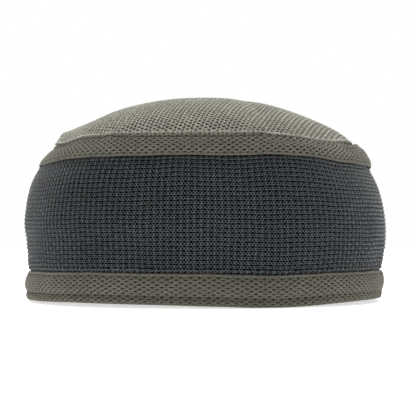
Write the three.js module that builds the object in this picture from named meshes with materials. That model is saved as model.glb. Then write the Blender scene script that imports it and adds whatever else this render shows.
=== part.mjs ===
// A kufi: a round cap without a brim, sewn from open sports mesh in two colours.
// Millimetres, +Z up. The origin is the middle of the rim, on the surface that the cap rests on.
// The front faces -Y, and the wearer's ears are at -X and +X.
import * as THREE from 'three';
import { LoftGeometry } from 'three/addons/geometries/LoftGeometry.js';

// Driving sizes
const DOME_TOP = 99.8;          // the highest point of the cap
const LENGTH_EXTRA = 8;         // how much longer than wide each half of the cap is
const TOP_LENGTH_EXTRA = 2.5;   // more length again at the top, so the trim stands steeper at the front
const TOP_LENGTH_START = 62;    // the height where that begins
const TOP_LENGTH_FULL = 76;     // the height where it is complete
const OVAL_POWER = 2.25;        // 2 is an ellipse, more is squarer
const AROUND = 52;              // flat facets round the cap

// Cloth thicknesses
const MESH_CLOTH = 1.1;         // olive mesh of the crown, the trim and the hem
const BAND_CLOTH = 1.2;         // slate mesh of the side band

// Colours
const CROWN_OLIVE = 0x8b8979;
const TRIM_OLIVE = 0x817f71;
const HEM_OLIVE = 0x7d7b6e;
const BAND_SLATE = 0x45484d;

// The dome's height above the crown's ridge is its rise times (1 - t^DOME_POWER)^DOME_FULLNESS,
// where t is 1 at the ridge and 0 at the top.
const DOME_POWER = 2.05;
const DOME_FULLNESS = 0.87;
const DOME_STEPS = [0.97, 0.9, 0.8, 0.68, 0.54, 0.38, 0.2, 0];

// Every table below lists the rings of a piece's outer face, in the order in which the cloth runs.
// front: the ring's height at the front and the back. side: its height over the ears.
// left, right: how far it reaches towards -X and +X.
const COLUMNS = ['front', 'side', 'left', 'right'];

const HEM_RINGS = [
  [12.6, 12.4, 82.9, 83.2],     // top edge of the leaf inside the cap
  [7.5, 7.5, 84.1, 83.6],
  [2.4, 2.4, 83.3, 82.6],
  [0.5, 0.5, 83.6, 82.9],
  [0.0, 0.0, 84.3, 83.5],       // flat underside, inner edge
  [0.0, 0.0, 86.1, 85.3],       // flat underside, outer edge
  [0.6, 0.6, 87.2, 86.3],
  [2.0, 2.0, 88.0, 87.0],
  [3.6, 3.6, 87.7, 87.0],       // a line of stitching draws the cloth in
  [6.4, 6.4, 88.5, 87.9],
  [9.6, 9.6, 88.3, 88.1],
  [12.4, 12.2, 87.4, 87.7],
  [14.5, 14.2, 86.6, 87.0],     // top edge of the leaf outside the cap
];

const SIDE_BAND_RINGS = [
  [3.0, 3.0, 86.1, 85.4],       // lower edge, inside the hem
  [7.5, 7.5, 86.9, 86.4],
  [12.4, 12.2, 85.7, 86.0],
  [14.4, 14.1, 85.0, 85.4],
  [16.6, 16.4, 86.8, 86.9],     // clear of the hem
  [22.0, 22.0, 87.4, 88.2],
  [29.5, 29.5, 87.9, 89.0],
  [37.0, 37.0, 88.9, 89.0],     // widest ring of the cap
  [44.5, 44.3, 88.2, 88.1],
  [52.0, 51.6, 87.0, 86.4],
  [59.0, 58.3, 85.0, 84.1],
  [65.2, 64.2, 81.4, 80.9],
  [66.3, 65.4, 79.9, 80.0],     // tucked in behind the trim
  [69.8, 69.2, 77.1, 78.4],     // upper edge, behind the trim
];

const UPPER_TRIM_RINGS = [
  [66.5, 65.4, 82.0, 82.1],     // folded lower edge, proud of the side band
  [68.4, 67.9, 80.8, 81.6],
  [70.3, 69.9, 79.1, 80.5],
  [72.2, 71.9, 76.9, 79.0],
  [73.9, 74.0, 75.2, 77.4],     // hollow on the left, full on the right
  [75.0, 75.7, 74.4, 75.4],
  [75.3, 76.3, 73.9, 74.0],     // upper edge, at the crown's seam
];

const CROWN_EDGE_RINGS = [
  [71.6, 71.8, 74.8, 76.3],     // seam allowance, inside the cap
  [73.6, 74.2, 73.0, 73.6],
  [75.1, 76.0, 72.2, 72.1],     // at the seam
  [75.9, 76.8, 73.4, 72.8],
  [76.8, 77.1, 74.0, 72.4],     // edge turned down over the seam
  [77.7, 77.5, 73.4, 71.3],     // the ridge, where the dome starts
];

// Soft folds and hollows of the crown, as seen from above.
// x, y: the middle. wide, long: reach to each side of it. turn: degrees from the Y axis to the long
// way. lift: upwards, so a hollow's is negative.
const FOLD_COLUMNS = ['x', 'y', 'wide', 'long', 'turn', 'lift'];
const CROWN_FOLDS = [
  [24, -46, 5, 29, 10, -1.1],   // crease down the front, right of the middle
  [57, -58, 12, 24, -48, -1.9], // low front corner on the right
  [25, -79, 6, 6, 0, 0.6],      // the ridge stands up where the crease meets it
  [-54, -5, 7, 24, 0, -2.0],    // hollow on the left slope
  [-70, -5, 5, 30, 0, 1.0],     // full left edge
  [47, -5, 16, 34, 0, -0.6],    // flatter right slope
];
const FOLDS_START = 70;         // folds grow from nothing at this height
const FOLDS_FULL = 75.5;        // to their whole lift at this one

// A table's rows as objects with the column names as keys.
function named(rows, columns) {
  return rows.map((row) => Object.fromEntries(columns.map((name, i) => [name, row[i]])));
}

// How far a ring reaches along Y.
function halfLength(ring) {
  const top = THREE.MathUtils.smoothstep(ring.front, TOP_LENGTH_START, TOP_LENGTH_FULL);
  return (ring.left + ring.right) / 2 + LENGTH_EXTRA + TOP_LENGTH_EXTRA * top;
}

// A table's rings, each with its half length.
function ringsOf(rows) {
  return named(rows, COLUMNS).map((ring) => ({ ...ring, length: halfLength(ring) }));
}

// The rings of the dome: the ridge's ring drawn in, step by step, to a point at the top.
function domeRings(ridge) {
  return DOME_STEPS.map((t) => {
    const risen = (1 - t ** DOME_POWER) ** DOME_FULLNESS;
    const height = THREE.MathUtils.lerp(ridge.front, DOME_TOP, risen);
    return {
      front: height,
      side: height,
      left: ridge.left * t,
      right: ridge.right * t,
      length: ridge.length * t,
    };
  });
}

const folds = named(CROWN_FOLDS, FOLD_COLUMNS);

// How far the crown's folds lift a point of the cap.
function foldLift(x, y, z) {
  const share = THREE.MathUtils.smoothstep(z, FOLDS_START, FOLDS_FULL);
  let lift = 0;
  for (const fold of folds) {
    const turn = THREE.MathUtils.degToRad(fold.turn);
    const dx = x - fold.x;
    const dy = y - fold.y;
    const across = (dx * Math.cos(turn) + dy * Math.sin(turn)) / fold.wide;
    const along = (dy * Math.cos(turn) - dx * Math.sin(turn)) / fold.long;
    lift += fold.lift * Math.exp(-(across ** 2 + along ** 2));
  }
  return lift * share;
}

// The points of one ring, counterclockwise from above.
function ringPoints(ring) {
  const points = [];
  for (let i = 0; i < AROUND; i++) {
    const angle = (i / AROUND) * 2 * Math.PI;
    const c = Math.cos(angle);
    const s = Math.sin(angle);
    const reach = (Math.abs(c) ** OVAL_POWER + Math.abs(s) ** OVAL_POWER) ** (-1 / OVAL_POWER);
    const sideways = reach * c;
    const x = sideways * (sideways > 0 ? ring.right : ring.left);
    const y = reach * s * ring.length;
    const z = THREE.MathUtils.lerp(ring.front, ring.side, Math.min(1, sideways ** 2));
    points.push(new THREE.Vector3(x, y, z + foldLift(x, y, z)));
  }
  return points;
}

// The direction out of the cloth between two rings, in the plane of reach and height.
function outward(from, to) {
  const reach = (to.left + to.right - from.left - from.right) / 2;
  const height = (to.front + to.side - from.front - from.side) / 2;
  return new THREE.Vector2(height, -reach).normalize();
}

// The rings of the cloth's other face, at the cloth's thickness behind the face given.
function backRings(rings, thickness) {
  return rings.map((ring, i) => {
    if (ring.length === 0) {
      return { ...ring, front: ring.front - thickness, side: ring.side - thickness };
    }
    const before = i > 0 ? outward(rings[i - 1], ring) : outward(ring, rings[i + 1]);
    const after = i < rings.length - 1 ? outward(ring, rings[i + 1]) : before;
    const mitre = thickness / (1 + before.dot(after));
    const inset = (before.x + after.x) * mitre;
    const drop = (before.y + after.y) * mitre;
    return {
      front: ring.front - drop,
      side: ring.side - drop,
      left: ring.left - inset,
      right: ring.right - inset,
      length: ring.length - inset,
    };
  });
}

// A wall of cloth that is open at both of its edges.
function bandOfCloth(rings, thickness) {
  const back = backRings(rings, thickness).reverse();
  return new LoftGeometry([...rings, ...back, rings[0]].map(ringPoints));
}

// A wall of cloth that closes in a dome, from its edge to the top.
function domeOfCloth(rings, thickness) {
  const back = backRings(rings, thickness).reverse();
  return new LoftGeometry([...back, ...rings].map(ringPoints));
}

function cloth(colour) {
  return new THREE.MeshStandardMaterial({ color: colour, roughness: 0.95, metalness: 0 });
}

function makePiece(name, geometry, material) {
  const piece = new THREE.Mesh(geometry, material);
  piece.name = name;
  return piece;
}

function makeHem() {
  return makePiece('hem', bandOfCloth(ringsOf(HEM_RINGS), MESH_CLOTH), cloth(HEM_OLIVE));
}

function makeSideBand() {
  const rings = ringsOf(SIDE_BAND_RINGS);
  return makePiece('side_band', bandOfCloth(rings, BAND_CLOTH), cloth(BAND_SLATE));
}

function makeUpperTrim() {
  const rings = ringsOf(UPPER_TRIM_RINGS);
  return makePiece('upper_trim', bandOfCloth(rings, MESH_CLOTH), cloth(TRIM_OLIVE));
}

function makeCrown() {
  const edge = ringsOf(CROWN_EDGE_RINGS);
  const ridge = edge[edge.length - 1];
  const rings = [...edge, ...domeRings(ridge)];
  return makePiece('crown', domeOfCloth(rings, MESH_CLOTH), cloth(CROWN_OLIVE));
}

const kufi = new THREE.Group();
kufi.add(makeHem(), makeSideBand(), makeUpperTrim(), makeCrown());

export default kufi;
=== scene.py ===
# Looks of a mesh kufi cap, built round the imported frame.
# The tables are in millimetres of the cap, and every mesh is scaled to metres when it is made.
import math

import bpy
import numpy as np
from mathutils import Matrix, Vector
from mathutils.geometry import delaunay_2d_cdt


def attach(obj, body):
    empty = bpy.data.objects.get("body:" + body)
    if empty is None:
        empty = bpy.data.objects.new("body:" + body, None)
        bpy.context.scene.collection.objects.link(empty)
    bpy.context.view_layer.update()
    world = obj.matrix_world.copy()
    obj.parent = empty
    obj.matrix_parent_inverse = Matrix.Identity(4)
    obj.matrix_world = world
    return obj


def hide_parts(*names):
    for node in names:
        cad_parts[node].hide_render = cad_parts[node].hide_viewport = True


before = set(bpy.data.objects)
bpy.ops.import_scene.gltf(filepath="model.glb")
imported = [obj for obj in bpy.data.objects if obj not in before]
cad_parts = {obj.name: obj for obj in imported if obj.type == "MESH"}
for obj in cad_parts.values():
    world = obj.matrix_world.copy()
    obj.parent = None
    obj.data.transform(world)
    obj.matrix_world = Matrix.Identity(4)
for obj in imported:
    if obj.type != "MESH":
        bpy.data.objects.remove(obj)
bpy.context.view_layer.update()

METRES = 0.001

# Camera: level with the lower third of the cap, pitched up a little
CAMERA_PLACE = (1.5, -715.0, 29.6)
CAMERA_PITCH_UP = 1.28
CAMERA_LENS = 123.9
CAMERA_SENSOR = 36.0

# Cap sizes, as in the frame
DOME_TOP = 99.8
LENGTH_EXTRA = 8.0
TOP_LENGTH_EXTRA = 2.5          # more length again at the top
TOP_LENGTH_START = 62.0
TOP_LENGTH_FULL = 76.0
OVAL_POWER = 2.25
MESH_CLOTH = 1.1
BAND_CLOTH = 1.2
DOME_POWER = 2.05
DOME_FULLNESS = 0.87

# Rings of each piece's outer face: height at the front and back, height over the ears, and how far
# it reaches towards -X and +X
HEM_RINGS = np.array([
    [12.6, 12.4, 82.9, 83.2],
    [7.5, 7.5, 84.1, 83.6],
    [2.4, 2.4, 83.3, 82.6],
    [0.5, 0.5, 83.6, 82.9],
    [0.0, 0.0, 84.3, 83.5],
    [0.0, 0.0, 86.1, 85.3],
    [0.6, 0.6, 87.2, 86.3],
    [2.0, 2.0, 88.0, 87.0],
    [3.6, 3.6, 87.7, 87.0],
    [6.4, 6.4, 88.5, 87.9],
    [9.6, 9.6, 88.3, 88.1],
    [12.4, 12.2, 87.4, 87.7],
    [14.5, 14.2, 86.6, 87.0],
])
SIDE_BAND_RINGS = np.array([
    [3.0, 3.0, 86.1, 85.4],
    [7.5, 7.5, 86.9, 86.4],
    [12.4, 12.2, 85.7, 86.0],
    [14.4, 14.1, 85.0, 85.4],
    [16.6, 16.4, 86.8, 86.9],
    [22.0, 22.0, 87.4, 88.2],
    [29.5, 29.5, 87.9, 89.0],
    [37.0, 37.0, 88.9, 89.0],
    [44.5, 44.3, 88.2, 88.1],
    [52.0, 51.6, 87.0, 86.4],
    [59.0, 58.3, 85.0, 84.1],
    [65.2, 64.2, 81.4, 80.9],
    [66.3, 65.4, 79.9, 80.0],
    [69.8, 69.2, 77.1, 78.4],
])
UPPER_TRIM_RINGS = np.array([
    [66.5, 65.4, 82.0, 82.1],
    [68.4, 67.9, 80.8, 81.6],
    [70.3, 69.9, 79.1, 80.5],
    [72.2, 71.9, 76.9, 79.0],
    [73.9, 74.0, 75.2, 77.4],
    [75.0, 75.7, 74.4, 75.4],
    [75.3, 76.3, 73.9, 74.0],
])
CROWN_EDGE_RINGS = np.array([
    [71.6, 71.8, 74.8, 76.3],
    [73.6, 74.2, 73.0, 73.6],
    [75.1, 76.0, 72.2, 72.1],
    [75.9, 76.8, 73.4, 72.8],
    [76.8, 77.1, 74.0, 72.4],
    [77.7, 77.5, 73.4, 71.3],
])

# Soft folds of the crown seen from above: middle, reach across and along, turn in degrees, lift.
# They are as in the frame, except that the fifth is fuller and further out, and that the frame lacks
# the last two.
CROWN_FOLDS = [
    (24, -46, 5, 29, 10, -1.1),
    (57, -58, 12, 24, -48, -1.9),
    (25, -79, 6, 6, 0, 0.6),
    (-54, -5, 7, 24, 0, -2.0),
    (-71.5, -5, 5, 30, 0, 2.0),
    (47, -5, 16, 34, 0, -0.6),
    (66, -5, 7, 30, 0, 0.5),
    (-37, -71, 3, 9, -59, 0.6),
]
FOLDS_START = 70.0
FOLDS_FULL = 75.5

# How much higher the soft rim and the trim's lower edge stand than in the frame, from -X to +X
RIM_LIFT_X = [-90, -60, -30, -20, -10, 8, 22, 32, 45, 60, 75, 90]
RIM_LIFT = [0.7, 1.4, 1.2, 1.1, 0.9, 0.5, 0.1, 0.0, 0.4, 1.1, 1.6, 1.3]
RIM_LIFT_HEIGHTS = [0, 15, 28, 44]
RIM_LIFT_SHARES = [1.25, 0.75, 0.35, 0.0]
TRIM_LIFT_X = [-75, -62, -48, -36, -24, -12, 2, 11, 19, 30, 38, 48, 53, 58, 64, 72]
TRIM_LIFT = [-0.1, 0.8, 0.9, 0.5, 0.2, 0.7, 0.5, 0.0, 0.4, 1.1, 1.2, 0.9, 0.5, -0.5, -0.8, -0.7]
TRIM_LIFT_GROWS = (46.0, 64.0)
TRIM_LIFT_FADES = (70.0, 75.5)
LIFT_BLUR = 4.0
PROFILE_REACH = 100.0           # how far to each side these two lines go
SEAM_SAG = 1.2                  # the crown's seam hangs lower over the ear at +X
SEAM_SAG_OUT = (60, 70)         # its sag grows from nothing this far out
SEAM_SAG_GROWS = (68, 73)       # and at these heights
SEAM_SAG_FADES = (76, 77.4)
RIDGE_SAG = 2.3                 # and so does its whole ridge over the ear at -X
RIDGE_SAG_OUT = (53, 70)
RIDGE_SAG_GROWS = (71.5, 75)
RIDGE_SAG_FADES = (77.6, 80.5)

# Olive mesh: one hole every pitch, and each row of holes half a pitch beside the next one
OLIVE_PITCH = 3.98
OLIVE_REPEAT = 3.1
HEM_REPEAT = 2.28               # the hem's cloth is pulled sideways, which flattens its holes
# Slate mesh: cells between the strong holes
SLATE_PITCH = 2.8
SLATE_ROW = 2.03


def olive_holes(repeat, half_wide, half_high):
    first = (OLIVE_PITCH, repeat, 0, 0, half_wide, half_high)
    second = (OLIVE_PITCH, repeat, OLIVE_PITCH / 2, repeat / 2, half_wide, half_high)
    return [first, second]


# Families of holes on a cloth: repeat across and up, place of the first hole, half width, half height
CROWN_HOLES = olive_holes(OLIVE_REPEAT, 1.02, 0.78)
TRIM_HOLES = olive_holes(OLIVE_REPEAT, 0.95, 0.6)
HEM_HOLES = olive_holes(HEM_REPEAT, 0.95, 0.36)
SLATE_HOLES = [
    (SLATE_PITCH, SLATE_ROW, 0, 0, 0.74, 0.6),                                      # strong
    (SLATE_PITCH / 2, SLATE_ROW, SLATE_PITCH / 4, SLATE_ROW / 2, 0.46, 0.42),       # fine
    (2 * SLATE_PITCH, 2 * SLATE_ROW, 0.5 * SLATE_PITCH, 0, 1.06, 0.34),            # dashes
    (2 * SLATE_PITCH, 2 * SLATE_ROW, 1.5 * SLATE_PITCH, SLATE_ROW, 1.06, 0.34),
    (2 * SLATE_PITCH, 2 * SLATE_ROW, 1.5 * SLATE_PITCH, 0, 0.52, 0.46),            # dots
    (2 * SLATE_PITCH, 2 * SLATE_ROW, 0.5 * SLATE_PITCH, SLATE_ROW, 0.52, 0.46),
]
HOLE_END = 1.5                  # square of the way out, in half sizes, where a hole's slope ends
OLIVE_DEPTH = 0.75
SLATE_DEPTH = 0.8

CROWN_GRAIN = 12.0              # degrees that the crown's cloth is turned from the front
STITCH_PITCH = OLIVE_PITCH      # the hem has one stitch to each column of holes

# Fineness of the meshes
OUTLINE_SAMPLES = 3601
FRAME_STEP = 0.15               # half of the gap over which a band's directions are worked out
NORMAL_STEP = 0.2               # and half of the dome's
CUT_EDGE_TURNS = np.radians([30, 90, 150])      # rows that round a band's cut edges


def smoothstep(x, low, high):
    t = np.clip((x - low) / (high - low), 0, 1)
    return t * t * (3 - 2 * t)


def plateau(x, rises, falls):
    """1 between two soft slopes and 0 beyond them. A slope is the pair of places it lies between."""
    return smoothstep(x, *rises) * (1 - smoothstep(x, *falls))


def hump(x, middle, reach, power=2):
    """1 at the middle, and next to nothing two reaches from it."""
    return np.exp(-((x - middle) / reach) ** power)


# Smooth surfaces through the tables

def distances(rows):
    """How far along its outline each row of a table is."""
    reach = rows[:, 2:].mean(axis=1)
    height = rows[:, :2].mean(axis=1)
    steps = np.hypot(np.diff(reach), np.diff(height))
    return np.concatenate([[0.0], np.cumsum(steps)])


def rings_at(rows, at):
    """The rings at the given distances, on a smooth curve through a table's rows."""
    along = distances(rows)
    slopes = np.gradient(rows, along, axis=0)
    i = np.clip(np.searchsorted(along, at) - 1, 0, len(along) - 2)
    gap = (along[i + 1] - along[i])[:, None]
    w = ((at - along[i])[:, None]) / gap
    start = rows[i] * (2 * w ** 3 - 3 * w ** 2 + 1) + slopes[i] * gap * (w ** 3 - 2 * w ** 2 + w)
    end = rows[i + 1] * (3 * w ** 2 - 2 * w ** 3) + slopes[i + 1] * gap * (w ** 3 - w ** 2)
    return start + end


def fold_lift(x, y, z):
    share = smoothstep(z, FOLDS_START, FOLDS_FULL)
    lift = np.zeros_like(x)
    for middle_x, middle_y, wide, long, turn, rise in CROWN_FOLDS:
        c, s = math.cos(math.radians(turn)), math.sin(math.radians(turn))
        across = ((x - middle_x) * c + (y - middle_y) * s) / wide
        along = ((y - middle_y) * c - (x - middle_x) * s) / long
        lift += rise * np.exp(-(across ** 2 + along ** 2))
    return lift * share


def half_length(rings):
    top = smoothstep(rings[:, 0:1], TOP_LENGTH_START, TOP_LENGTH_FULL)
    return (rings[:, 2:3] + rings[:, 3:4]) / 2 + LENGTH_EXTRA + TOP_LENGTH_EXTRA * top


def soft_profile(marks, values):
    """A table's line with its corners rounded: places a millimetre apart, and values."""
    places = np.arange(-PROFILE_REACH, PROFILE_REACH + 1)
    window = round(3 * LIFT_BLUR)
    kernel = hump(np.arange(-window, window + 1), 0, LIFT_BLUR)
    line = np.pad(np.interp(places, marks, values), window, mode="edge")
    return places, np.convolve(line, kernel / kernel.sum(), mode="valid")


RIM_PROFILE = soft_profile(RIM_LIFT_X, RIM_LIFT)
TRIM_PROFILE = soft_profile(TRIM_LIFT_X, TRIM_LIFT)


def edge_lift(x, z):
    """How much higher the cloth's edges stand than in the frame."""
    rim = np.interp(x, *RIM_PROFILE) * np.interp(z, RIM_LIFT_HEIGHTS, RIM_LIFT_SHARES)
    trim = np.interp(x, *TRIM_PROFILE) * plateau(z, TRIM_LIFT_GROWS, TRIM_LIFT_FADES)
    seam = SEAM_SAG * smoothstep(x, *SEAM_SAG_OUT) * plateau(z, SEAM_SAG_GROWS, SEAM_SAG_FADES)
    ridge = RIDGE_SAG * smoothstep(-x, *RIDGE_SAG_OUT) * plateau(z, RIDGE_SAG_GROWS, RIDGE_SAG_FADES)
    return rim + trim - seam - ridge


def on_rings(rings, angles):
    """Points of the cap on each ring at each angle, as an array of rings by angles by three."""
    c, s = np.cos(angles), np.sin(angles)
    reach = (np.abs(c) ** OVAL_POWER + np.abs(s) ** OVAL_POWER) ** (-1 / OVAL_POWER)
    sideways = reach * c
    front, side, left, right = (rings[:, k:k + 1] for k in range(4))
    x = sideways * np.where(sideways > 0, right, left)
    y = reach * s * half_length(rings)
    z = front + (side - front) * np.minimum(1, sideways ** 2)
    return np.stack([x, y, z + fold_lift(x, y, z) + edge_lift(x, z)], axis=2)


def even_angles(count, reach):
    """Angles from the back of the cap, round past -X, that split its outline evenly."""
    dense = np.linspace(0, 2 * np.pi, OUTLINE_SAMPLES) + np.pi / 2
    ring = np.array([[0.0, 0.0, reach, reach]])
    points = on_rings(ring, dense)[0]
    along = np.concatenate([[0.0], np.cumsum(np.linalg.norm(np.diff(points, axis=0), axis=1))])
    return np.interp(np.arange(count) / count * along[-1], along, dense)


def unit(vectors):
    return vectors / np.linalg.norm(vectors, axis=-1, keepdims=True)


def frames_of(rows, at, angles):
    """Directions on the smooth surface: outwards, round the cap, and upwards along the cloth."""
    end = distances(rows)[-1]
    above = on_rings(rings_at(rows, np.minimum(at + FRAME_STEP, end)), angles)
    below = on_rings(rings_at(rows, np.maximum(at - FRAME_STEP, 0)), angles)
    here = (above + below) / 2
    around = unit(np.roll(here, -1, axis=1) - np.roll(here, 1, axis=1))
    along = unit(above - below)
    return unit(np.cross(around, along)), around, along


# Holes and relief of the cloths

# Waves of cloth sewn by hand: height, how many round the cap, start in radians, and how far up the
# cloth they move on by one radian
SIDEWAYS_STRAYS = [(0.2, 7, 0, 9), (0.1, 19, 1.3, 5)]
UPWARDS_STRAYS = [(0.14, 11, 2, 12), (0.08, 31, 0, 7)]
JOIN_DEPTH = 0.5                # the plain join at the back of each band
JOIN_REACH = 0.7


def hole_amount(across, up, holes):
    """How much of a hole is at each point of a cloth, from 0 to 1."""
    amount = np.zeros(np.broadcast(across, up).shape)
    for wide, high, first_across, first_up, half_wide, half_high in holes:
        dx = ((across - first_across) / wide + 0.5) % 1 - 0.5
        dy = ((up - first_up) / high + 0.5) % 1 - 0.5
        squared = (dx * wide / half_wide) ** 2 + (dy * high / half_high) ** 2
        amount = np.maximum(amount, np.clip(HOLE_END - squared, 0, 1))
    return amount


def weave_relief(across, up, holes, depth):
    return -depth * hole_amount(across, up, holes)


def waves(table, turns, at):
    """A table's waves added up, at places given as turns round the cap and millimetres up."""
    total = 0
    for height, count, start, drift in table:
        total = total + height * np.sin(2 * np.pi * count * turns + start + at / drift)
    return total


def seam_groove(across, cloth_length):
    """The plain join at the back of a band: a narrow furrow."""
    beside = (across / cloth_length + 0.5) % 1 - 0.5
    return -JOIN_DEPTH * hump(beside * cloth_length, 0, JOIN_REACH)


# Mesh making

def add_object(name, points, faces):
    mesh = bpy.data.meshes.new(name)
    mesh.from_pydata((points * METRES).tolist(), [], faces)
    mesh.shade_smooth()
    piece = bpy.data.objects.new(name, mesh)
    bpy.context.scene.collection.objects.link(piece)
    return piece


def set_weave(piece, corner_places):
    """Each face corner's place on the flat cloth, in millimetres, as a UV map."""
    layer = piece.data.uv_layers.new(name="weave")
    layer.data.foreach_set("uv", corner_places.astype(np.float32).ravel())


def set_share(piece, name, values):
    layer = piece.data.attributes.new(name, "FLOAT", "POINT")
    layer.data.foreach_set("value", values.astype(np.float32).ravel())


def wall_rows(face, back, thickness):
    """Rows of a closed wall of cloth: distance along the cloth, depth behind its face, and whether
    the row is on the face. The face's rows come first, then the upper edge's, the back's and the
    lower edge's. face and back are distances along the cloth."""
    half = thickness / 2
    upper = face[-1] + half * np.sin(CUT_EDGE_TURNS)
    lower = face[0] - half * np.sin(CUT_EDGE_TURNS)
    at = np.concatenate([face, upper, back[::-1], lower])
    inset = np.concatenate([
        np.zeros(len(face)),
        half * (1 - np.cos(CUT_EDGE_TURNS)),
        np.full(len(back), thickness),
        half * (1 + np.cos(CUT_EDGE_TURNS)),
    ])
    on_face = np.zeros(len(at))
    on_face[:len(face)] = 1
    return at, inset, on_face


def wall_faces(rows, columns):
    """Quads of a grid that closes on itself in both directions."""
    i = np.arange(rows)[:, None]
    j = np.arange(columns)[None, :]
    next_i, next_j = (i + 1) % rows, (j + 1) % columns
    corners = [i * columns + j, i * columns + next_j, next_i * columns + next_j, next_i * columns + j]
    return np.stack(corners, axis=2).reshape(-1, 4)


def wall_corners(at, columns, cloth_length):
    """Places on the cloth of every corner of wall_faces."""
    rows = len(at)
    across = np.arange(columns + 1) / columns * cloth_length
    next_at = np.roll(at, -1)
    places = np.empty((rows, columns, 4, 2))
    places[:, :, 0, 0] = places[:, :, 3, 0] = across[:-1]
    places[:, :, 1, 0] = places[:, :, 2, 0] = across[1:]
    places[:, :, 0, 1] = places[:, :, 1, 1] = at[:, None]
    places[:, :, 2, 1] = places[:, :, 3, 1] = next_at[:, None]
    return places


def make_wall(name, rows, face, back, thickness, columns, cloth_length, relief, openness, lean=None):
    """A band of cloth round the cap. relief gives millimetres outwards at a place on the cloth.
    openness gives the share of its holes, and lean how far its columns slant."""
    at, inset, on_face = wall_rows(face, back, thickness)
    angles = even_angles(columns, rows[:, 2:].mean())
    end = distances(rows)[-1]
    base = on_rings(rings_at(rows, np.clip(at, 0, end)), angles)
    out, around, along = frames_of(rows, np.clip(at, 0, end), angles)
    turns = np.arange(columns) / columns
    lift = relief((turns * cloth_length)[None, :], at[:, None]) * on_face[:, None]
    sideways = waves(SIDEWAYS_STRAYS, turns[None, :], at[:, None])
    upwards = waves(UPWARDS_STRAYS, turns[None, :], at[:, None])
    if lean:
        sideways = sideways + lean(turns)[None, :] * (at - end / 2)[:, None]
    points = base + out * (lift - inset[:, None])[:, :, None]
    points += around * sideways[:, :, None] + along * upwards[:, :, None]
    piece = add_object(name, points.reshape(-1, 3), wall_faces(len(at), columns).tolist())
    set_weave(piece, wall_corners(at, columns, cloth_length))
    set_share(piece, "open", np.repeat(openness(at), columns))
    return piece


# The hem

HEM_CELLS = 146
HEM_LENGTH = HEM_CELLS * OLIVE_PITCH
HEM_STEPS_ACROSS = 8
HEM_STEPS_UP = 6
HEM_INNER_ROWS = 9
HEM_BACK_ROWS = 14
HEM_PLACES = distances(HEM_RINGS)
HEM_END = HEM_PLACES[-1]
HEM_UNDERSIDE = HEM_PLACES[4]
HEM_FOLD = HEM_PLACES[6]
HEM_LOW_STITCH = HEM_PLACES[8]
HEM_TOP_STITCH = HEM_END - 1.9
HEM_OPENS = (0.7, 1.3)          # its top strip is rolled, and the holes open this far below its end
# Furrows that the stitches draw in: depth, half width, and the share of the depth under a stitch
TOP_FURROW = (0.4, 0.5, 0.5)
LOW_FURROW = (0.35, 0.8, 0.4)
LOW_FURROW_EASE = 0.8           # this much of the lower one is lost at the right
LOW_FURROW_EASED = (0.56, 0.64), (0.8, 0.9)     # turns from the back, past -X
SCALLOP_RISE = 0.35             # the fold bulges where one stitch ends and the next one starts
SCALLOP_REACH = 1.2


def hem_openness(at):
    return smoothstep(HEM_END - at, *HEM_OPENS)


def furrow(at, pull, place, depth, half_width, under_stitch):
    return -depth * hump(at, place, half_width) * (under_stitch + (1 - under_stitch) * pull)


def hem_relief(across, at):
    weave = weave_relief(across, at, HEM_HOLES, OLIVE_DEPTH * hem_openness(at))
    pull = 0.5 - 0.5 * np.cos(2 * np.pi * across / STITCH_PITCH)
    top = furrow(at, pull, HEM_TOP_STITCH, *TOP_FURROW)
    ease = LOW_FURROW_EASE * plateau(across / HEM_LENGTH, *LOW_FURROW_EASED)
    low = furrow(at, pull, HEM_LOW_STITCH, *LOW_FURROW) * (1 - ease)
    scallop = SCALLOP_RISE * pull * hump(at, HEM_FOLD, SCALLOP_REACH)
    return weave + top + low + scallop + seam_groove(across, HEM_LENGTH)


def make_hem():
    half = MESH_CLOTH / 2
    inner = np.linspace(half, HEM_UNDERSIDE, HEM_INNER_ROWS + 1)[:-1]
    outer = np.arange(HEM_UNDERSIDE, HEM_END - half, HEM_REPEAT / HEM_STEPS_UP)
    back = np.linspace(half, HEM_END - half, HEM_BACK_ROWS)
    return make_wall(
        "hem_cloth", HEM_RINGS, np.concatenate([inner, outer]), back, MESH_CLOTH,
        HEM_CELLS * HEM_STEPS_ACROSS, HEM_LENGTH, hem_relief, hem_openness)


# The side band

BAND_CELLS = 202
BAND_LENGTH = BAND_CELLS * SLATE_PITCH
BAND_STEPS_ACROSS = 4
BAND_STEPS_UP = 4
BAND_LOWER_ROWS = 2
BAND_BACK_ROWS = 5
BAND_PLACES = distances(SIDE_BAND_RINGS)
BAND_END = BAND_PLACES[-1]
BAND_SEEN = BAND_PLACES[3]      # the band comes out of the hem here
BAND_HIDDEN = BAND_PLACES[11]   # and goes under the trim here
BAND_HIDDEN_REACH = 2.0         # its fine rows go on this far under the trim
BAND_WAVES = [(0.25, 5, 0, 13), (0.15, 13, 1, -9)]      # outwards, in the strays' columns
# It is full beside its seams: height, place, reach
FULL_TOP = (0.5, BAND_HIDDEN + 0.3, 1.6)
FULL_LOW = (0.85, BAND_SEEN + 1.6, 1.1)
# And painted shade in lines where it passes into the hem and under the trim, where their edges shade it:
# place, reach
PAINTED_SHADE_LOW = (BAND_SEEN + 0.3, 0.7)
PAINTED_SHADE_TOP = (BAND_HIDDEN + 1.9, 0.8)
PAINTED_SHADE_POWER = 4                  # makes the painted shade lines even up to their edges


def band_openness(at):
    return np.ones(at.shape)


def band_relief(across, at):
    weave = weave_relief(across, at, SLATE_HOLES, SLATE_DEPTH)
    middle = np.sin(np.pi * np.clip((at - BAND_SEEN) / (BAND_HIDDEN - BAND_SEEN), 0, 1))
    slack = middle * waves(BAND_WAVES, across / BAND_LENGTH, at)
    full = sum(height * hump(at, place, reach) for height, place, reach in (FULL_TOP, FULL_LOW))
    return weave + slack + full + seam_groove(across, BAND_LENGTH)


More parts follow.
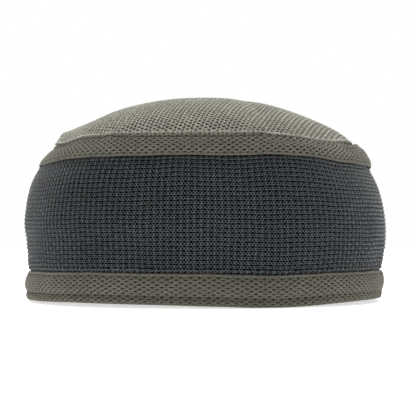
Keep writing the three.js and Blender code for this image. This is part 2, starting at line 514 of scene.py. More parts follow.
# Painted shade: dark lines on the band under the trim's edge and above the hem
def band_painted_shade(at):
    return np.maximum(hump(at, *PAINTED_SHADE_LOW, PAINTED_SHADE_POWER), hump(at, *PAINTED_SHADE_TOP, PAINTED_SHADE_POWER))


def make_side_band():
    half = BAND_CLOTH / 2
    step = SLATE_ROW / BAND_STEPS_UP
    first = math.ceil(BAND_SEEN / step) * step
    seen = np.arange(first, BAND_HIDDEN + BAND_HIDDEN_REACH, step)
    below = np.linspace(half, first, BAND_LOWER_ROWS + 1)[:-1]
    face = np.concatenate([below, seen, [BAND_END - half]])
    back = np.linspace(half, BAND_END - half, BAND_BACK_ROWS)
    columns = BAND_CELLS * BAND_STEPS_ACROSS
    piece = make_wall(
        "side_band_cloth", SIDE_BAND_RINGS, face, back, BAND_CLOTH, columns, BAND_LENGTH,
        band_relief, band_openness)
    at, _, _ = wall_rows(face, back, BAND_CLOTH)
    # Painted shade under the trim's edge and above the hem, kept as a share
    set_share(piece, "painted_shade", np.repeat(band_painted_shade(at), columns))
    return piece


# The upper trim

TRIM_CELLS = 150
TRIM_LENGTH = TRIM_CELLS * OLIVE_PITCH
TRIM_STEPS_ACROSS = 8
TRIM_STEPS_UP = 9
TRIM_BACK_ROWS = 10
TRIM_END = distances(UPPER_TRIM_RINGS)[-1]
TRIM_OPENS = (1.0, 1.7)         # its lower edge is folded, and its holes start here
TRIM_LEAN = 0.85                # its columns of holes slant towards the front's corners
TRIM_LEAN_FADES = (1.0, 1.7)    # radians from the front
TRIM_FLUSH = 0.95               # right of the middle it stands out to the crown's edge, near its end
TRIM_FLUSH_TURNS = (0.52, 0.56), (0.7, 0.76)    # turns from the back, past -X
TRIM_FLUSH_PLACES = (TRIM_END - 1.8, TRIM_END - 0.6)
TRIM_ROLL = 1.4                 # and further right it is a round roll, fullest above its middle
TRIM_ROLL_TURNS = (0.64, 0.72), (0.78, 0.86)
TRIM_ROLL_POWER = 1.6


def trim_openness(at):
    return smoothstep(at, *TRIM_OPENS)


def trim_lean(turns):
    from_front = 2 * np.pi * (turns - 0.5)
    return TRIM_LEAN * np.sin(from_front) * (1 - smoothstep(np.abs(from_front), *TRIM_LEAN_FADES))


def trim_relief(across, at):
    weave = weave_relief(across, at, TRIM_HOLES, OLIVE_DEPTH * trim_openness(at))
    turns = across / TRIM_LENGTH
    flush = TRIM_FLUSH * plateau(turns, *TRIM_FLUSH_TURNS) * smoothstep(at, *TRIM_FLUSH_PLACES)
    up = np.clip(at, 0, TRIM_END) / TRIM_END
    roll = TRIM_ROLL * plateau(turns, *TRIM_ROLL_TURNS) * np.sin(np.pi * up ** TRIM_ROLL_POWER)
    return weave + flush + roll + seam_groove(across, TRIM_LENGTH)


def make_upper_trim():
    half = MESH_CLOTH / 2
    face = np.arange(half, TRIM_END - half, OLIVE_REPEAT / TRIM_STEPS_UP)
    back = np.linspace(half, TRIM_END - half, TRIM_BACK_ROWS)
    return make_wall(
        "upper_trim_cloth", UPPER_TRIM_RINGS, face, back, MESH_CLOTH,
        TRIM_CELLS * TRIM_STEPS_ACROSS, TRIM_LENGTH, trim_relief, trim_openness, trim_lean)


# The crown: a flat disc of cloth domed over the top, its edge turned down over the seam

RIDGE = CROWN_EDGE_RINGS[-1]
RIDGE_HALF_LONG = float(half_length(RIDGE[None])[0, 0])
RIDGE_REACH = (RIDGE[2:].mean() + RIDGE_HALF_LONG) / 2
SEAM_AT = distances(CROWN_EDGE_RINGS)[2]
RIDGE_AT = distances(CROWN_EDGE_RINGS)[-1]
GRAIN_COS = math.cos(math.radians(CROWN_GRAIN))
GRAIN_SIN = math.sin(math.radians(CROWN_GRAIN))
CROWN_STEP_ACROSS = OLIVE_PITCH / 8
CROWN_STEP_ALONG = OLIVE_REPEAT / 5
GRID_SPARE = 1.3                # the grid is laid out to this many times the mean reach, then cut
GRID_GAP = 0.45                 # it stops this far inside the ridge
DOME_OPENS = (0.15, 0.6)        # the dome's holes open this far inside the ridge
EDGE_CELLS = 124                # holes in one row round the turned-down edge
EDGE_STEPS = 6
EDGE_LENGTH = EDGE_CELLS * OLIVE_PITCH
EDGE_FIRST_ROW = 0.95           # the edge's first row of holes is this far above the seam
EDGE_SQUEEZE = 2.0              # how much closer its rows are than on the dome
EDGE_HIDDEN_ROWS = 3
EDGE_SEEN_ROWS = 15
EDGE_BACK_ROWS = 6
EDGE_OPEN = 0.65                # how open its holes are, pulled flat by the seam
EDGE_OPENS = (0.3, 0.7)         # they open this far above the seam
EDGE_CLOSES = (0.4, 0.8)        # and close this far below the ridge
EDGE_PAINTED_SHADE = 0.3                 # how much painted shade darkens the turned-down edge, which faces outwards, away from the overhead light
EDGE_SHADE_GROWS = (0.3, 0.9)         # this far below the ridge
CREST_RISE = 0.2                # the ridge stands a little over the dome just inside it
CREST_REACH = 0.6
CREST_EDGE_REACH = 0.8          # its reach on the turned-down edge
CREST_DIP = 0.1
CREST_DIP_PLACE = (2.4, 1.3)    # the dip's distance inside the ridge, and its reach
RIB_RISE = 0.18                 # the yarn runs in low ribs between the columns of holes
# Rows under the dome, as shares of the way from its middle to the ridge
INSIDE_SHARES = np.array([0.13, 0.26, 0.4, 0.54, 0.68, 0.8, 0.9, 0.96])
CROWN_EDGE_TURNS = np.radians([135, 90, 45])    # rows that round the crown's cut edge


def dome_height(t):
    risen = (1 - np.clip(t, 0, 1) ** DOME_POWER) ** DOME_FULLNESS
    return RIDGE[0] + (DOME_TOP - RIDGE[0]) * risen


# How far along the cloth each share of the way from the top to the ridge is, as a share of the reach
DOME_SHARES = np.linspace(0, 1, 2001)
DOME_CLOTH = np.concatenate([[0.0], np.cumsum(np.hypot(
    np.diff(DOME_SHARES), np.diff(dome_height(DOME_SHARES)) / RIDGE_REACH))])


def oval_share(x, y):
    """0 at the middle and 1 on the ridge, seen from above."""
    half_wide = np.where(x > 0, RIDGE[3], RIDGE[2])
    powers = (np.abs(x) / half_wide) ** OVAL_POWER + (np.abs(y) / RIDGE_HALF_LONG) ** OVAL_POWER
    return powers ** (1 / OVAL_POWER)


def from_cloth(a, b):
    """Where a point of the flat disc lies on the cap, seen from above."""
    spread = np.maximum(oval_share(a, b), 1e-9)
    share = np.interp(spread, DOME_CLOTH, DOME_SHARES)
    return a * share / spread, b * share / spread


def crest(share):
    inside = (1 - share) * RIDGE_REACH
    return CREST_RISE * hump(inside, 0, CREST_REACH) - CREST_DIP * hump(inside, *CREST_DIP_PLACE)


def dome_points(x, y):
    share = oval_share(x, y)
    z = dome_height(share)
    return np.stack([x, y, z + fold_lift(x, y, z) + edge_lift(x, z) + crest(share)], axis=-1)


def dome_normals(x, y):
    step = NORMAL_STEP
    slope_x = (dome_points(x + step, y) - dome_points(x - step, y))[..., 2] / (2 * step)
    slope_y = (dome_points(x, y + step) - dome_points(x, y - step))[..., 2] / (2 * step)
    return unit(np.stack([-slope_x, -slope_y, np.ones_like(x)], axis=-1))


def crown_relief(across, along):
    ribs = -RIB_RISE * np.cos(4 * np.pi * across / OLIVE_PITCH)
    return ribs + weave_relief(across, along, CROWN_HOLES, OLIVE_DEPTH)


def grain(a, b):
    """Places on the disc in the cloth's own directions: across the grain, and along it."""
    return a * GRAIN_COS - b * GRAIN_SIN, a * GRAIN_SIN + b * GRAIN_COS


def ungrain(across, along):
    return across * GRAIN_COS + along * GRAIN_SIN, along * GRAIN_COS - across * GRAIN_SIN


def grid_places(step):
    count = round(RIDGE_REACH * DOME_CLOTH[-1] * GRID_SPARE / step)
    return np.arange(-count, count + 1) * step


def disc_grid():
    """Grid cells of the flat disc that lie inside the ridge: places, kept vertices and quads."""
    across, along = np.meshgrid(grid_places(CROWN_STEP_ACROSS), grid_places(CROWN_STEP_ALONG))
    a, b = ungrain(across, along)
    inside = oval_share(a, b) < DOME_CLOTH[-1] - GRID_GAP / RIDGE_REACH
    cells = inside[:-1, :-1] & inside[:-1, 1:] & inside[1:, 1:] & inside[1:, :-1]
    used = np.zeros_like(inside)
    for di in (0, 1):
        for dj in (0, 1):
            used[di:di + cells.shape[0], dj:dj + cells.shape[1]] |= cells
    index = np.full(inside.shape, -1)
    index[used] = np.arange(used.sum())
    i, j = np.nonzero(cells)
    quads = np.stack([index[i, j], index[i, j + 1], index[i + 1, j + 1], index[i + 1, j]], axis=1)
    return across[used], along[used], a[used], b[used], quads


def cell_lookup(quads, a, b):
    """A test of whether a place on the disc is inside one of the grid's cells."""
    across, along = grain(a[quads].mean(axis=1), b[quads].mean(axis=1))
    filled = set(zip(np.floor(across / CROWN_STEP_ACROSS).astype(int).tolist(),
                     np.floor(along / CROWN_STEP_ALONG).astype(int).tolist()))

    def test(x, y):
        p, q = grain(x, y)
        return (math.floor(p / CROWN_STEP_ACROSS), math.floor(q / CROWN_STEP_ALONG)) in filled

    return test


def border_faces(quads, a, b, ring, ring_start):
    """Triangles between the grid's stepped border and the ridge, whose points start at ring_start."""
    edges = np.concatenate([quads[:, [0, 1]], quads[:, [1, 2]], quads[:, [2, 3]], quads[:, [3, 0]]])
    ordered = np.sort(edges, axis=1)
    _, first, count = np.unique(ordered, axis=0, return_index=True, return_counts=True)
    rim = edges[first[count == 1]]
    rim_vertices = np.unique(rim)
    place = {int(v): n for n, v in enumerate(rim_vertices)}
    flat = [Vector((float(a[v]), float(b[v]))) for v in rim_vertices]
    flat += [Vector((float(x), float(y))) for x, y in ring]
    constraints = [(place[int(v)], place[int(w)]) for v, w in rim]
    start = len(rim_vertices)
    constraints += [(start + n, start + (n + 1) % len(ring)) for n in range(len(ring))]
    _, _, triangles, origins, _, _ = delaunay_2d_cdt(flat, constraints, [], 0, 1e-6)
    filled = cell_lookup(quads, a, b)
    kept = []
    for triangle in triangles:
        corners = [origins[v][0] for v in triangle]
        if all(v < start for v in corners):
            x = sum(flat[v].x for v in corners) / 3
            y = sum(flat[v].y for v in corners) / 3
            if filled(x, y):
                continue
        kept.append([int(rim_vertices[v]) if v < start else ring_start + v - start for v in corners])
    return kept


def crown_dome():
    """The outer face of the dome on the disc's grid: points, places on the disc, quads, openness."""
    across, along, a, b, quads = disc_grid()
    x, y = from_cloth(a, b)
    openness = smoothstep((DOME_CLOTH[-1] - oval_share(a, b)) * RIDGE_REACH, *DOME_OPENS)
    lift = crown_relief(across, along) * openness
    points = dome_points(x, y) + dome_normals(x, y) * lift[:, None]
    return points, a, b, quads, openness


def crown_edge(angles):
    """The turned-down edge from under the seam up to the ridge: its rows' distances along the cloth,
    their points, the cut edge's smooth points and outward directions, and each row's openness."""
    hidden = np.linspace(MESH_CLOTH / 2, SEAM_AT, EDGE_HIDDEN_ROWS + 1)[:-1]
    at = np.concatenate([hidden, np.linspace(SEAM_AT, RIDGE_AT, EDGE_SEEN_ROWS)])
    base = on_rings(rings_at(CROWN_EDGE_RINGS, at), angles)
    base[:, :, 2] += CREST_RISE * hump(at, RIDGE_AT, CREST_EDGE_REACH)[:, None]
    out, _, _ = frames_of(CROWN_EDGE_RINGS, at, angles)
    across = np.arange(len(angles)) / len(angles) * EDGE_LENGTH
    openness = EDGE_OPEN * smoothstep(RIDGE_AT - at, *EDGE_CLOSES) * smoothstep(at - SEAM_AT, *EDGE_OPENS)
    lift = crown_relief(across[None, :], edge_up(at)[:, None]) * openness[:, None]
    return at, base + out * lift[:, :, None], base[0], out[0], openness


def edge_up(at):
    """Height on the turned-down edge's cloth, from its first row of holes."""
    return (at - SEAM_AT - EDGE_FIRST_ROW) * EDGE_SQUEEZE


def crown_lower_edge(edge, low, out):
    """Rows that round the cloth's cut edge, from the inner face to the outer one."""
    half = MESH_CLOTH / 2
    down = unit(edge[0] - edge[1])
    return np.array([
        low + down * half * math.sin(v) - out * half * (1 - math.cos(v)) for v in CROWN_EDGE_TURNS])


def crown_inside(angles, ridge):
    """Rows of the inner face: under the dome from its middle, then down behind the edge."""
    plan = ridge[None, :, :2] * INSIDE_SHARES[:, None, None]
    x, y = plan[..., 0], plan[..., 1]
    under = dome_points(x, y) - dome_normals(x, y) * MESH_CLOTH
    at = np.linspace(RIDGE_AT, MESH_CLOTH / 2, EDGE_BACK_ROWS)
    out, _, _ = frames_of(CROWN_EDGE_RINGS, at, angles)
    behind = on_rings(rings_at(CROWN_EDGE_RINGS, at), angles) - out * MESH_CLOTH
    return under, at, behind


def disc_places(a, b, ridge_cloth, rows_outside):
    """Places on the disc's cloth of all the crown's points: the grid's, the rows' and the inner
    middle's. Rows outside the ridge have the ridge's own."""
    reaches = np.interp(INSIDE_SHARES, DOME_SHARES, DOME_CLOTH) / DOME_CLOTH[-1]
    reaches = np.concatenate([reaches, np.ones(rows_outside)])
    disc = np.concatenate([
        np.stack([a, b], axis=1),
        (ridge_cloth[None] * reaches[:, None, None]).reshape(-1, 2),
        np.zeros((1, 2)),
    ])
    return np.stack(grain(disc[:, 0], disc[:, 1]), axis=1)


def set_crown_share(piece, name, dome_values, row_values, count, middle_value):
    """One share for each point: the dome's, then each row's, then the inner middle's."""
    rows = np.repeat(row_values, count)
    set_share(piece, name, np.concatenate([dome_values, rows, [middle_value]]))


def make_crown():
    count = EDGE_CELLS * EDGE_STEPS
    angles = even_angles(count, RIDGE[2:].mean())
    dome, a, b, quads, dome_open = crown_dome()
    edge_at, edge, low, low_out, edge_open = crown_edge(angles)
    under, behind_at, behind = crown_inside(angles, edge[-1])
    turned = crown_lower_edge(edge, low, low_out)
    rows = np.concatenate([under, behind, turned, edge])
    at = np.concatenate([np.zeros(len(under)), behind_at, np.full(len(turned), edge_at[0]), edge_at])
    middle = dome_points(np.zeros(1), np.zeros(1)) - [0, 0, MESH_CLOTH]
    points = np.concatenate([dome, rows.reshape(-1, 3), middle])
    # Faces: the dome's grid and its border, the inner middle, then the strips between rows
    start, last = len(dome), len(points) - 1
    ridge_cloth = edge[-1][:, :2] * DOME_CLOTH[-1]
    border = border_faces(quads, a, b, ridge_cloth, start + (len(rows) - 1) * count)
    fan = [[last, start + (j + 1) % count, start + j] for j in range(count)]
    strips = wall_faces(len(rows), count)[:-count] + start
    under_strips, edge_strips = np.split(strips, [len(under) * count])
    disc_faces = [*quads.tolist(), *border, *fan, *under_strips.tolist()]
    piece = add_object("crown_cloth", points, disc_faces + edge_strips.tolist())
    # Places on the cloth: the disc's own, and round the cap on the turned-down edge
    disc = disc_places(a, b, ridge_cloth, len(rows) - len(under))
    disc_corners = np.concatenate([np.array(face) for face in disc_faces])
    edge_corners = wall_corners(edge_up(at), count, EDGE_LENGTH)[len(under):-1]
    set_weave(piece, np.concatenate([disc[disc_corners].ravel(), edge_corners.ravel()]))
    # Shares: how open the holes are, and how much painted shade darkens the turned-down edge
    plain = len(rows) - len(edge)
    row_open = np.concatenate([np.ones(plain), edge_open])
    row_painted_shade = np.concatenate([np.zeros(plain), EDGE_PAINTED_SHADE * smoothstep(RIDGE_AT - edge_at, *EDGE_SHADE_GROWS)])
    set_crown_share(piece, "open", dome_open, row_open, count, 1.0)
    set_crown_share(piece, "painted_shade", np.zeros(len(dome)), row_painted_shade, count, 0.0)
    return piece


# Stitches: short rounded threads along a ring of the hem

STITCH_THICK = 0.45
STITCH_SUNK = 0.2               # how far the threads lie in the cloth
STITCH_ARCH = 0.12              # how much higher their middle stands than their tips
STITCH_SIDES = 8
STITCH_RINGS = 7


def stitch_points(middle, direction, side, out, length):
    points = []
    for w in np.linspace(-1, 1, STITCH_RINGS + 2)[1:-1]:
        girth = STITCH_THICK / 2 * math.sqrt(1 - w ** 4)
        axis_point = middle + direction * w * length / 2 + out * STITCH_ARCH * (1 - w ** 2)
        for k in range(STITCH_SIDES):
            turn = 2 * math.pi * k / STITCH_SIDES
            points.append(axis_point + girth * (side * math.cos(turn) + out * math.sin(turn)))
    tip = direction * length / 2
    return points + [middle - tip, middle + tip]


def stitch_faces(first):
    """A stitch's faces, where its points start at first: a tube, and a fan at each tip."""
    pairs = [(k, (k + 1) % STITCH_SIDES) for k in range(STITCH_SIDES)]
    faces = []
    for low in range(first, first + (STITCH_RINGS - 1) * STITCH_SIDES, STITCH_SIDES):
        high = low + STITCH_SIDES
        faces += [[low + k, low + m, high + m, high + k] for k, m in pairs]
    last = first + (STITCH_RINGS - 1) * STITCH_SIDES
    start_tip, end_tip = last + STITCH_SIDES, last + STITCH_SIDES + 1
    for k, m in pairs:
        faces.append([first + m, first + k, start_tip])
        faces.append([last + k, last + m, end_tip])
    return faces


def make_stitches(name, at, length, slope):
    angles = even_angles(HEM_CELLS, HEM_RINGS[:, 2:].mean())
    place = np.array([at])
    centre = on_rings(rings_at(HEM_RINGS, place), angles)[0]
    out, around, along = (directions[0] for directions in frames_of(HEM_RINGS, place, angles))
    turns = np.arange(HEM_CELLS) / HEM_CELLS
    sideways = waves(SIDEWAYS_STRAYS, turns, at)[:, None]
    upwards = waves(UPWARDS_STRAYS, turns, at)[:, None]
    middle = centre - out * STITCH_SUNK + around * sideways + along * upwards
    tilt = math.radians(slope)
    direction = around * math.cos(tilt) + along * math.sin(tilt)
    side = np.cross(out, direction)
    points, faces = [], []
    for n in range(HEM_CELLS):
        faces += stitch_faces(len(points))
        points += stitch_points(middle[n], direction[n], side[n], out[n], length)
    return add_object(name, np.array(points), faces)


# Materials

class Nodes:
    """A material's nodes, with short ways to add one and join it to what it reads."""

    def __init__(self, name):
        self.material = bpy.data.materials.new(name)
        self.material.use_nodes = True
        self.tree = self.material.node_tree
        self.shader = self.tree.nodes["Principled BSDF"]

    def add(self, kind, **settings):
        node = self.tree.nodes.new(kind)
        for key, value in settings.items():
            setattr(node, key, value)
        return node

    def feed(self, socket, value):
        if isinstance(value, bpy.types.NodeSocket):
            self.tree.links.new(value, socket)
        else:
            socket.default_value = value

    def math(self, operation, *values):
        node = self.add("ShaderNodeMath", operation=operation)
        for socket, value in zip(node.inputs, values):
            self.feed(socket, value)
        return node.outputs[0]

    def mix(self, share, first, second):
        node = self.add("ShaderNodeMix", data_type="RGBA")
        self.feed(node.inputs[0], share)
        self.feed(node.inputs[6], first)
        self.feed(node.inputs[7], second)
        return node.outputs[2]

    def noise(self, vector, scale, detail):
        node = self.add("ShaderNodeTexNoise")
        self.feed(node.inputs["Vector"], vector)
        node.inputs["Scale"].default_value = scale
        node.inputs["Detail"].default_value = detail
        return node.outputs["Fac"]

    def shade(self, name, value):
        self.feed(self.shader.inputs[name], value)

    def bump(self, height, strength, distance):
        node = self.add("ShaderNodeBump")
        node.inputs["Strength"].default_value = strength
        node.inputs["Distance"].default_value = distance
        self.feed(node.inputs["Height"], height)
        self.shade("Normal", node.outputs[0])


def hole_nodes(nodes, across, up, holes, ragged):
    """The same amount of hole as hole_amount gives, with ragged edges."""
    amount = None
    for wide, high, first_across, first_up, half_wide, half_high in holes:
        squared = []
        for place, first, repeat, half in (
            (across, first_across, wide, half_wide),
            (up, first_up, high, half_high),
        ):
            turns = nodes.math("MULTIPLY_ADD", place, 1 / repeat, 0.5 - first / repeat)
            beside = nodes.math("SUBTRACT", nodes.math("FRACT", turns), 0.5)
            scaled = nodes.math("MULTIPLY", beside, repeat / half)
            squared.append(nodes.math("MULTIPLY", scaled, scaled))
        total = nodes.math("ADD", *squared)
        edge = nodes.math("SUBTRACT", nodes.math("ADD", ragged, HOLE_END), total)
        edge.node.use_clamp = True
        amount = edge if amount is None else nodes.math("MAXIMUM", amount, edge)
    return amount


def colour(*values):
    return (*values, 1.0)


# Noises over the flat cloth: how many to a millimetre, and detail
LOOPS = (0.9, 3.0)
SPECKS = (1.4, 1.0)
PATCHES = (0.45, 1.0)
SLOW_CHANGES = (0.05, 2.0)
FIBRES = (3.0, 2.0)
# How much of each there is in the yarn's tone, and what is added to their sum
LOOP_TONE = 1.2
SPECK_TONE = 1.8
SLOW_TONE = 0.4
TONE_SHIFT = -1.2
RAGGEDNESS = 2.4                # how far the loops move a hole's edge in and out
# Relief finer than the mesh's own shape: heights as shares of BUMP_DISTANCE, which is in metres
TWIST_HEIGHT = 0.12
HOLE_HEIGHT = -0.5
FIBRE_HEIGHT = 0.3
BUMP_STRENGTH = 0.6
BUMP_DISTANCE = 0.0004
CLOTH_ROUGHNESS = 0.72
LOOP_ROUGHNESS = 0.2
CLOTH_SPECULAR = 0.08
SHEEN_ROUGHNESS = 0.3
OLIVE_YARN = 0.62               # millimetres to one twist of the yarn
SLATE_YARN = 0.45


def cloth_tone(nodes, weave, loops):
    """Each loop of yarn is a little different, and the whole changes slowly over the cloth."""
    slow = nodes.math("MULTIPLY_ADD", nodes.noise(weave, *SLOW_CHANGES), SLOW_TONE, TONE_SHIFT)
    tone = nodes.math("MULTIPLY_ADD", loops, LOOP_TONE, slow)
    tone = nodes.math("MULTIPLY_ADD", nodes.noise(weave, *SPECKS), SPECK_TONE, tone)
    tone.node.use_clamp = True
    return tone


def yarn_relief(nodes, weave, across, up, amount, yarn_pitch):
    ply = nodes.math("MULTIPLY", nodes.math("ADD", across, up), 2 * math.pi / yarn_pitch)
    other = nodes.math("MULTIPLY", nodes.math("SUBTRACT", across, up), 2 * math.pi / yarn_pitch)
    twist = nodes.math("MULTIPLY", nodes.math("SINE", ply), nodes.math("SINE", other))
    holes = nodes.math("MULTIPLY", amount, HOLE_HEIGHT)
    height = nodes.math("MULTIPLY_ADD", twist, TWIST_HEIGHT, holes)
    return nodes.math("MULTIPLY_ADD", nodes.noise(weave, *FIBRES), FIBRE_HEIGHT, height)


def mesh_cloth(name, holes, yarn, light_yarn, deep, rib, folds, patchy, sheen, yarn_pitch):
    """Open knitted mesh: dark in its holes, with yarn that varies in tone from yarn to light_yarn, and
    darkened towards deep by painted shade where its share of painted shade is set. rib is how much darker
    the cloth is along its columns of holes, folds how much painted shade darkens it where it has no
    holes, patchy how unevenly dark the holes are, and sheen how much light its fibres catch."""
    nodes = Nodes(name)
    weave = nodes.add("ShaderNodeUVMap", uv_map="weave").outputs[0]
    parts = nodes.add("ShaderNodeSeparateXYZ")
    nodes.feed(parts.inputs[0], weave)
    across, up = parts.outputs[0], parts.outputs[1]
    open_share = nodes.add("ShaderNodeAttribute", attribute_name="open").outputs["Fac"]
    painted_shade = nodes.add("ShaderNodeAttribute", attribute_name="painted_shade").outputs["Fac"]
    loops = nodes.noise(weave, *LOOPS)
    # Darkness of the holes, and painted shade where the cloth lies in shade
    ragged = nodes.math("MULTIPLY_ADD", loops, RAGGEDNESS, -RAGGEDNESS / 2)
    amount = nodes.math("MULTIPLY", hole_nodes(nodes, across, up, holes, ragged), open_share)
    dulled = nodes.math("MULTIPLY_ADD", nodes.noise(weave, *PATCHES), -2 * patchy, 1 + patchy / 2)
    dulled.node.use_clamp = True
    dark = nodes.math("MAXIMUM", nodes.math("MULTIPLY", amount, dulled), painted_shade)
    # Colour of the cloth between them
    body = nodes.mix(cloth_tone(nodes, weave, loops), colour(*yarn), colour(*light_yarn))
    column = nodes.math("COSINE", nodes.math("MULTIPLY", across, 4 * math.pi / OLIVE_PITCH))
    valley = nodes.math("MULTIPLY_ADD", column, rib / 2, rib / 2)
    body = nodes.mix(valley, body, colour(*deep))
    # Painted shade on plain cloth with no holes, such as the trim's folded lower edge
    body = nodes.mix(nodes.math("MULTIPLY_ADD", open_share, -folds, folds), body, colour(*deep))
    nodes.shade("Base Color", nodes.mix(dark, body, colour(*deep)))
    nodes.bump(yarn_relief(nodes, weave, across, up, amount, yarn_pitch), BUMP_STRENGTH, BUMP_DISTANCE)
    nodes.shade("Roughness", nodes.math("MULTIPLY_ADD", loops, LOOP_ROUGHNESS, CLOTH_ROUGHNESS))
    nodes.shade("Specular IOR Level", CLOTH_SPECULAR)
    nodes.shade("Sheen Weight", sheen)
    nodes.shade("Sheen Roughness", SHEEN_ROUGHNESS)
    return nodes.material


# The thread: noises over the cap, how many to a metre, and detail
THREAD_TONES = (900.0, 2.0)
THREAD_TWIST = (2600.0, 1.0)
THREAD_LIGHT = 1.6              # its light tone against its dark one
THREAD_BUMP = (0.5, 0.0002)     # strength, and metres
THREAD_ROUGHNESS = 0.65
THREAD_ROUGHNESS_RANGE = 0.2


def thread_material(name, base):
    nodes = Nodes(name)
    where = nodes.add("ShaderNodeTexCoord").outputs["Object"]
    tone = nodes.noise(where, *THREAD_TONES)
    light = [THREAD_LIGHT * value for value in base]
    nodes.shade("Base Color", nodes.mix(tone, colour(*base), colour(*light)))
    nodes.bump(nodes.noise(where, *THREAD_TWIST), *THREAD_BUMP)
    rough = nodes.math("MULTIPLY_ADD", tone, THREAD_ROUGHNESS_RANGE, THREAD_ROUGHNESS)
    nodes.shade("Roughness", rough)
    return nodes.material


def dress(piece, material, slot, *nodes):
    piece.data.materials.append(material)
    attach(piece, "root")
    if nodes:
        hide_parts(*nodes)


# Camera

def make_camera():
    data = bpy.data.cameras.new("camera")
    data.lens = CAMERA_LENS
    data.sensor_width = CAMERA_SENSOR
    data.sensor_fit = "HORIZONTAL"
    data.clip_start = 0.01
    data.clip_end = 50
    camera = bpy.data.objects.new("camera", data)
    camera.location = Vector(CAMERA_PLACE) * METRES
    camera.rotation_euler = (math.radians(90 + CAMERA_PITCH_UP), 0, 0)
    bpy.context.scene.collection.objects.link(camera)
    bpy.context.scene.camera = camera


# Stage, in metres

FLOOR_REACH = 4.0
FLOOR_WHITE = 0.9
FLOOR_ROUGHNESS = 0.9
FLOOR_GLOW = 0.65               # the paper is lit from beneath, so the cap's shadow on it is faint
WORLD_LIGHT = 0.15              # the white background's strength as light
SKY_DIRECTION = (0, 0.6, 1)
SKY_WIDTH = 70                  # degrees
SKY_POWER = 5.5
SIDE_LIGHT_PLACE = (1.3, -0.6, 0.2)     # at +X, and the other one mirrors it
SIDE_LIGHT_TARGET = (0, 0, 0.05)
SIDE_LIGHT_SIZE = 0.9
SIDE_LIGHT_POWER = 2


def make_floor():
    reach = FLOOR_REACH / METRES
    corners = np.array([[-reach, -reach, 0], [reach, -reach, 0], [reach, reach, 0], [-reach, reach, 0]])
    floor = add_object("floor", corners, [[0, 1, 2, 3]])
    nodes = Nodes("floor_paper")
    nodes.shade("Base Color", colour(FLOOR_WHITE, FLOOR_WHITE, FLOOR_WHITE))
    nodes.shade("Roughness", FLOOR_ROUGHNESS)
    nodes.shade("Emission Color", colour(1, 1, 1))
    nodes.shade("Emission Strength", FLOOR_GLOW)
    floor.data.materials.append(nodes.material)


def add_lamp(name, data, direction):
    lamp = bpy.data.objects.new(name, data)
    lamp.rotation_euler = direction.to_track_quat("-Z", "Y").to_euler()
    bpy.context.scene.collection.objects.link(lamp)
    return lamp


def make_sky_light():
    """A broad, even overhead light."""
    data = bpy.data.lights.new("overhead", "SUN")
    data.angle = math.radians(SKY_WIDTH)
    data.energy = SKY_POWER
    add_lamp("overhead", data, -Vector(SKY_DIRECTION))


def make_side_light(name, side):
    """A soft light at one side. side is 1 at +X and -1 at -X."""
    place = Vector((side * SIDE_LIGHT_PLACE[0], *SIDE_LIGHT_PLACE[1:]))
    data = bpy.data.lights.new(name, "AREA")
    data.shape = "SQUARE"
    data.size = SIDE_LIGHT_SIZE
    data.energy = SIDE_LIGHT_POWER
    lamp = add_lamp(name, data, Vector(SIDE_LIGHT_TARGET) - place)
    lamp.location = place


def make_world():
    """White as the camera sees it, and dimmer as light."""
    world = bpy.data.worlds.new("studio")
    bpy.context.scene.world = world
    world.use_nodes = True
    tree = world.node_tree
    lit, seen = tree.nodes["Background"], tree.nodes.new("ShaderNodeBackground")
    for background, strength in ((lit, WORLD_LIGHT), (seen, 1.0)):
        background.inputs[0].default_value = colour(1, 1, 1)
        background.inputs[1].default_value = strength
    path = tree.nodes.new("ShaderNodeLightPath")
    mix = tree.nodes.new("ShaderNodeMixShader")
    tree.links.new(path.outputs["Is Camera Ray"], mix.inputs[0])
    tree.links.new(lit.outputs[0], mix.inputs[1])
    tree.links.new(seen.outputs[0], mix.inputs[2])
    tree.links.new(mix.outputs[0], tree.nodes["World Output"].inputs[0])


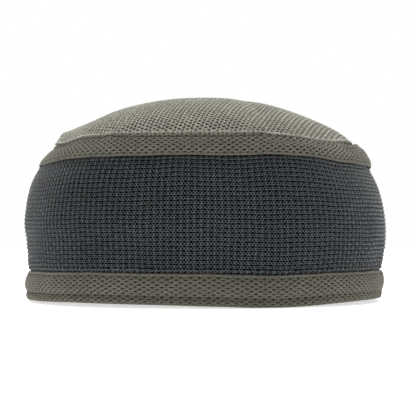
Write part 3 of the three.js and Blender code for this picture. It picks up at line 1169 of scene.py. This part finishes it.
def make_stage():
    make_floor()
    make_world()
    make_sky_light()
    make_side_light("left", -1)
    make_side_light("right", 1)


make_camera()
# The crown, trim and hem are one olive cloth: the crown's copy is painted lighter, as painted light from
# overhead, and the trim's and hem's copies darker, as painted shade
lit_crown_olive = mesh_cloth(
    "crown_mesh_cloth", CROWN_HOLES, yarn=(0.13, 0.127, 0.099), light_yarn=(0.615, 0.602, 0.487),
    deep=(0.014, 0.013, 0.01), rib=0.4, folds=0.0, patchy=0.05, sheen=0.5, yarn_pitch=OLIVE_YARN)
# folds: painted shade on the trim's folded lower edge
shaded_trim_olive = mesh_cloth(
    "trim_mesh_cloth", TRIM_HOLES, yarn=(0.07, 0.068, 0.053), light_yarn=(0.27, 0.26, 0.208),
    deep=(0.016, 0.0145, 0.011), rib=0.08, folds=0.35, patchy=0.25, sheen=0.15, yarn_pitch=OLIVE_YARN)
shaded_hem_olive = mesh_cloth(
    "hem_mesh_cloth", HEM_HOLES, yarn=(0.098, 0.094, 0.073), light_yarn=(0.254, 0.243, 0.196),
    deep=(0.024, 0.022, 0.018), rib=0.05, folds=0.0, patchy=0.42, sheen=0.15, yarn_pitch=OLIVE_YARN)
slate = mesh_cloth(
    "band_mesh_cloth", SLATE_HOLES, yarn=(0.044, 0.05, 0.055), light_yarn=(0.165, 0.18, 0.191),
    deep=(0.0005, 0.0005, 0.0006), rib=0.0, folds=0.0, patchy=0.0, sheen=0.4, yarn_pitch=SLATE_YARN)
thread = thread_material("hem_thread", (0.07, 0.066, 0.052))

dress(make_crown(), lit_crown_olive, "crown_mesh", "crown")
dress(make_upper_trim(), shaded_trim_olive, "trim_mesh", "upper_trim")
dress(make_side_band(), slate, "band_mesh", "side_band")
dress(make_hem(), shaded_hem_olive, "hem_mesh", "hem")
dress(make_stitches("hem_top_stitches", HEM_TOP_STITCH, length=2.4, slope=0), thread, "hem_mesh")
dress(make_stitches("hem_low_stitches", HEM_LOW_STITCH, length=3.6, slope=-12), thread, "hem_mesh")

make_stage()
bpy.context.scene.view_settings.view_transform = "Standard"
